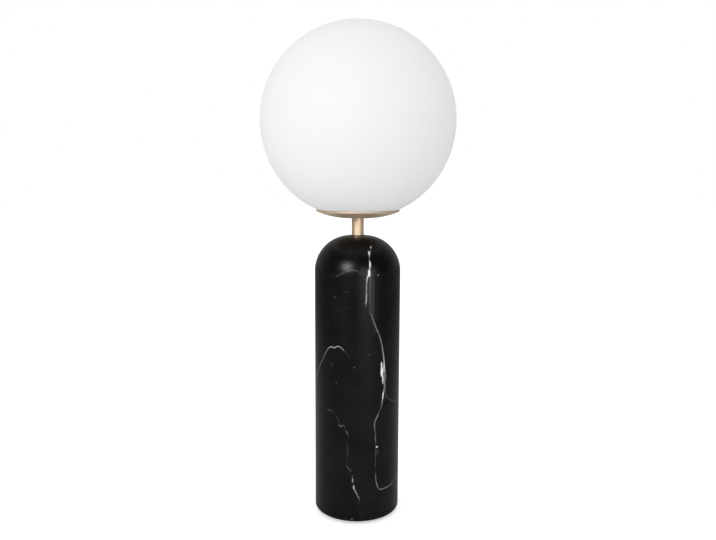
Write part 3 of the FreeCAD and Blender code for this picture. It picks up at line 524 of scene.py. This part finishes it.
# %% [markdown]
# The globe is opal glass with a satin outside: milky all through, so that light spreads inside
# the wall and the bulb doesn't show. A Principled shader with a white base and some subsurface
# light does this faster and with less noise than real cloudy glass. The lampholder's ceramic and
# plastics, the silicone and the pad are dull in the same way, so one helper makes them all.

# %% Helper: a dull surface
MOTTLE_SCALE = 0.15


def make_dull(name, colour, roughness, scale, variation, bump, mottle=0.04):
    """A moulded or cast surface: one colour, slightly mottled, with its own grain."""
    material, tree, shader = new_material(name)
    place = object_millimetres(tree)
    add_grain(tree, shader, place, scale, roughness, variation, bump=bump)
    cloud = add_node(tree, "ShaderNodeTexNoise", Vector=place, Scale=MOTTLE_SCALE, Detail=3.0)
    darker = tuple(channel * (1 - mottle) for channel in colour)
    mixed = blend_colours(tree, rescale(tree, cloud.outputs["Fac"], NOISE_LOW, NOISE_HIGH, 0.0, 1.0),
                          (*darker, 1), (*colour, 1))
    tree.links.new(mixed, shader.inputs["Base Color"])
    return material, shader


# %% Opal glass, and the bulb's frosted plastic
SPREAD_IN_GLASS = 10 * MM
SPREAD_IN_PLASTIC = 6 * MM
opal, opal_shader = make_dull("opal glass", (0.90, 0.90, 0.905), 0.68, 0.5, 0.03, 0.0, mottle=0.006)
opal_shader.inputs["Specular IOR Level"].default_value = 0.25
opal_shader.inputs["Subsurface Weight"].default_value = 0.3
opal_shader.inputs["Subsurface Radius"].default_value = (SPREAD_IN_GLASS,) * 3
opal_shader.inputs["Subsurface Scale"].default_value = 1.0
frosted, frosted_shader = make_dull("frosted diffuser", (0.88, 0.88, 0.87), 0.5, 1.0, 0.03, 0.0,
                                    mottle=0.01)
frosted_shader.inputs["Subsurface Weight"].default_value = 0.3
frosted_shader.inputs["Subsurface Radius"].default_value = (SPREAD_IN_PLASTIC,) * 3
print("milky:", opal.name, "and", frosted.name)

# %% Ceramic, plastics and rubber: colour, roughness, grain scale, variation, bump
ceramic, ceramic_shader = make_dull("glazed ceramic", (0.80, 0.78, 0.72), 0.18, 0.6, 0.04, 0.03)
ceramic_shader.inputs["Coat Weight"].default_value = 0.4
silicone, _ = make_dull("silicone", (0.78, 0.78, 0.75), 0.55, 1.5, 0.06, 0.1)
black_plastic, _ = make_dull("black plastic", (0.022, 0.022, 0.023), 0.42, 2.5, 0.06, 0.2, mottle=0.15)
black_fibre, _ = make_dull("black fibre", (0.012, 0.012, 0.012), 0.75, 3.0, 0.05, 0.3, mottle=0.2)
pad_rubber, _ = make_dull("foot pad", (0.03, 0.03, 0.031), 0.9, 2.0, 0.04, 0.5, mottle=0.25)
white_plastic, _ = make_dull("white plastic", (0.82, 0.82, 0.80), 0.38, 1.2, 0.05, 0.06)
board_white, _ = make_dull("white solder mask", (0.84, 0.85, 0.83), 0.35, 1.5, 0.06, 0.05)
circuit_green, _ = make_dull("circuit board", (0.03, 0.16, 0.07), 0.4, 1.0, 0.08, 0.1, mottle=0.3)
chip_gel, _ = make_dull("chip gel", (0.85, 0.66, 0.14), 0.3, 2.0, 0.05, 0.05)

print("materials so far:", len(bpy.data.materials))

# %% [markdown]
# Each piece of the frame already names its finish in the record, so one table from those names to
# the materials and one loop dress them all.

# %% Dress the pieces of the frame
FINISHES = {
    "marble": marble, "brass": brass, "opal_glass": opal, "black_fibre": black_fibre,
    "pad": pad_rubber, "steel": steel, "silicone": silicone, "black_plastic": black_plastic,
    "ceramic": ceramic, "contact_brass": contact_brass, "white_plastic": white_plastic,
    "nickel": nickel, "board": board_white, "circuit": circuit_green, "chip": chip_gel,
    "diffuser": frosted,
}
slot_of = {part["node"]: part["material_slot"] for part in frame["record"]["subparts"]}
for name, piece in nodes.items():
    finish = FINISHES[slot_of[name]]
    if not piece.material_slots:
        piece.data.materials.append(finish)
    for place in piece.material_slots:
        place.material = finish
print("dressed", len(nodes), "pieces with", len(FINISHES), "finishes")

# %% [markdown]
# The studio. The lamp stands on a white table in front of a white wall. The camera sees the wall
# as pure white. Reflections see the wall behind the lamp as a grey and the room in front as
# dark, which is what gives polished black stone its depth. All other rays meet one even, pale
# light, so that a colour renders about as it is written.

# %% World: white wall behind, dark room in front, even light for the rest
WALL_IN_REFLECTIONS = 0.38
ROOM_IN_REFLECTIONS = 0.02
EVEN_LIGHT = 0.92
WALL_STARTS, WALL_FULL = -0.35, 0.75


def make_world():
    world = bpy.data.worlds.new("studio")
    scene.world = world
    world.use_nodes = True
    tree = world.node_tree
    tree.nodes.clear()
    direction = add_node(tree, "ShaderNodeSeparateXYZ",
                         Vector=tree.nodes.new("ShaderNodeTexCoord").outputs["Generated"])
    behind = rescale(tree, direction.outputs["Y"], WALL_STARTS, WALL_FULL, 0.0, 1.0, smooth=True)
    reflected = rescale(tree, behind, 0.0, 1.0, ROOM_IN_REFLECTIONS, WALL_IN_REFLECTIONS)
    rays = tree.nodes.new("ShaderNodeLightPath").outputs
    sharp = calculate(tree, "MAXIMUM", rays["Is Glossy Ray"], rays["Is Transmission Ray"])
    strength = add_node(tree, "ShaderNodeMix", {"data_type": "FLOAT"})
    connect(tree, sharp, strength.inputs["Factor"])
    connect(tree, EVEN_LIGHT, strength.inputs["A"])
    connect(tree, reflected, strength.inputs["B"])
    seen = add_node(tree, "ShaderNodeMix", {"data_type": "FLOAT"})
    connect(tree, rays["Is Camera Ray"], seen.inputs["Factor"])
    connect(tree, strength.outputs["Result"], seen.inputs["A"])
    connect(tree, 1.0, seen.inputs["B"])
    background = add_node(tree, "ShaderNodeBackground", Strength=seen.outputs["Result"])
    background.inputs["Color"].default_value = (1, 1, 1, 1)
    output = tree.nodes.new("ShaderNodeOutputWorld")
    tree.links.new(background.outputs[0], output.inputs["Surface"])


make_world()
print("world:", scene.world.name)

# %% [markdown]
# The table. Its own colour is pale, and for camera rays some white is added, so that it meets the
# wall without a line but keeps a trace of the lamp's shadow. In reflections it is darker, and
# darker still far from the lamp, because a real table ends and the room round it is dim.

# %% Table
TABLE_REACH = 6.0
TABLE_WHITE_FOR_CAMERA = 0.45
TABLE_COLOUR = 0.85
NEAR_TABLE_IN_REFLECTIONS = 0.45
FAR_TABLE_IN_REFLECTIONS = 0.20
NEAR, FAR = 0.35, 1.1


def make_table():
    mesh = bpy.data.meshes.new("table")
    corners = [(-TABLE_REACH, -TABLE_REACH, 0), (TABLE_REACH, -TABLE_REACH, 0),
               (TABLE_REACH, TABLE_REACH, 0), (-TABLE_REACH, TABLE_REACH, 0)]
    mesh.from_pydata(corners, [], [(0, 1, 2, 3)])
    table = bpy.data.objects.new("table", mesh)
    scene.collection.objects.link(table)
    material = bpy.data.materials.new("table white")
    material.use_nodes = True
    tree = material.node_tree
    tree.nodes.clear()
    rays = tree.nodes.new("ShaderNodeLightPath").outputs
    place = tree.nodes.new("ShaderNodeTexCoord").outputs["Object"]
    away = add_node(tree, "ShaderNodeVectorMath", {"operation": "LENGTH"})
    tree.links.new(place, away.inputs[0])
    mirrored = rescale(tree, away.outputs["Value"], NEAR, FAR, NEAR_TABLE_IN_REFLECTIONS,
                       FAR_TABLE_IN_REFLECTIONS, smooth=True)
    tone = add_node(tree, "ShaderNodeMix", {"data_type": "FLOAT"})
    connect(tree, rays["Is Glossy Ray"], tone.inputs["Factor"])
    connect(tree, TABLE_COLOUR, tone.inputs["A"])
    connect(tree, mirrored, tone.inputs["B"])
    paint = add_node(tree, "ShaderNodeBsdfDiffuse", Color=tone.outputs["Result"])
    glow = tree.nodes.new("ShaderNodeEmission")
    connect(tree, calculate(tree, "MULTIPLY", rays["Is Camera Ray"], TABLE_WHITE_FOR_CAMERA),
            glow.inputs["Strength"])
    both = tree.nodes.new("ShaderNodeAddShader")
    tree.links.new(paint.outputs[0], both.inputs[0])
    tree.links.new(glow.outputs[0], both.inputs[1])
    output = tree.nodes.new("ShaderNodeOutputMaterial")
    tree.links.new(both.outputs[0], output.inputs["Surface"])
    mesh.materials.append(material)


make_table()
print("table:", 2 * TABLE_REACH, "m wide")

# %% [markdown]
# The lamps of the studio. A photographer lights a glossy object with large soft boxes, and puts
# up cards only to be mirrored in it. Here the left box gives light and isn't mirrored, and the two
# cards are mirrored and give no light. Their reflections on the neck, the dish and the stone are
# the ones that the photograph shows, so each stands where it is seen: at an angle of twice the
# surface's turn away from the camera.

# %% Soft boxes
AIM_HEIGHT = 0.3


def soft_box(name, azimuth, distance, height, wide, tall, power, lights=True, reflects=True):
    """A light at an azimuth round the lamp, 0 in front and positive to the right, aimed at it."""
    light = bpy.data.lights.new(name, "AREA")
    light.shape = "RECTANGLE"
    light.size = wide
    light.size_y = tall
    light.energy = power
    lamp = bpy.data.objects.new(name, light)
    turn = math.radians(azimuth)
    lamp.location = (distance * math.sin(turn), -distance * math.cos(turn), height)
    aim = Vector((0, 0, AIM_HEIGHT)) - lamp.location
    lamp.rotation_euler = aim.to_track_quat("-Z", "Y").to_euler()
    lamp.visible_diffuse = lights
    lamp.visible_glossy = reflects
    scene.collection.objects.link(lamp)


soft_box("front card", azimuth=26, distance=1.7, height=0.35, wide=1.2, tall=0.8, power=9.5, lights=False)
soft_box("left card", azimuth=-29, distance=1.5, height=0.8, wide=0.55, tall=0.45, power=17.0, lights=False)
soft_box("left box", azimuth=-22, distance=1.5, height=0.6, wide=1.2, tall=1.2, power=6.0, reflects=False)
print("soft boxes:", [light.name for light in bpy.data.lights])
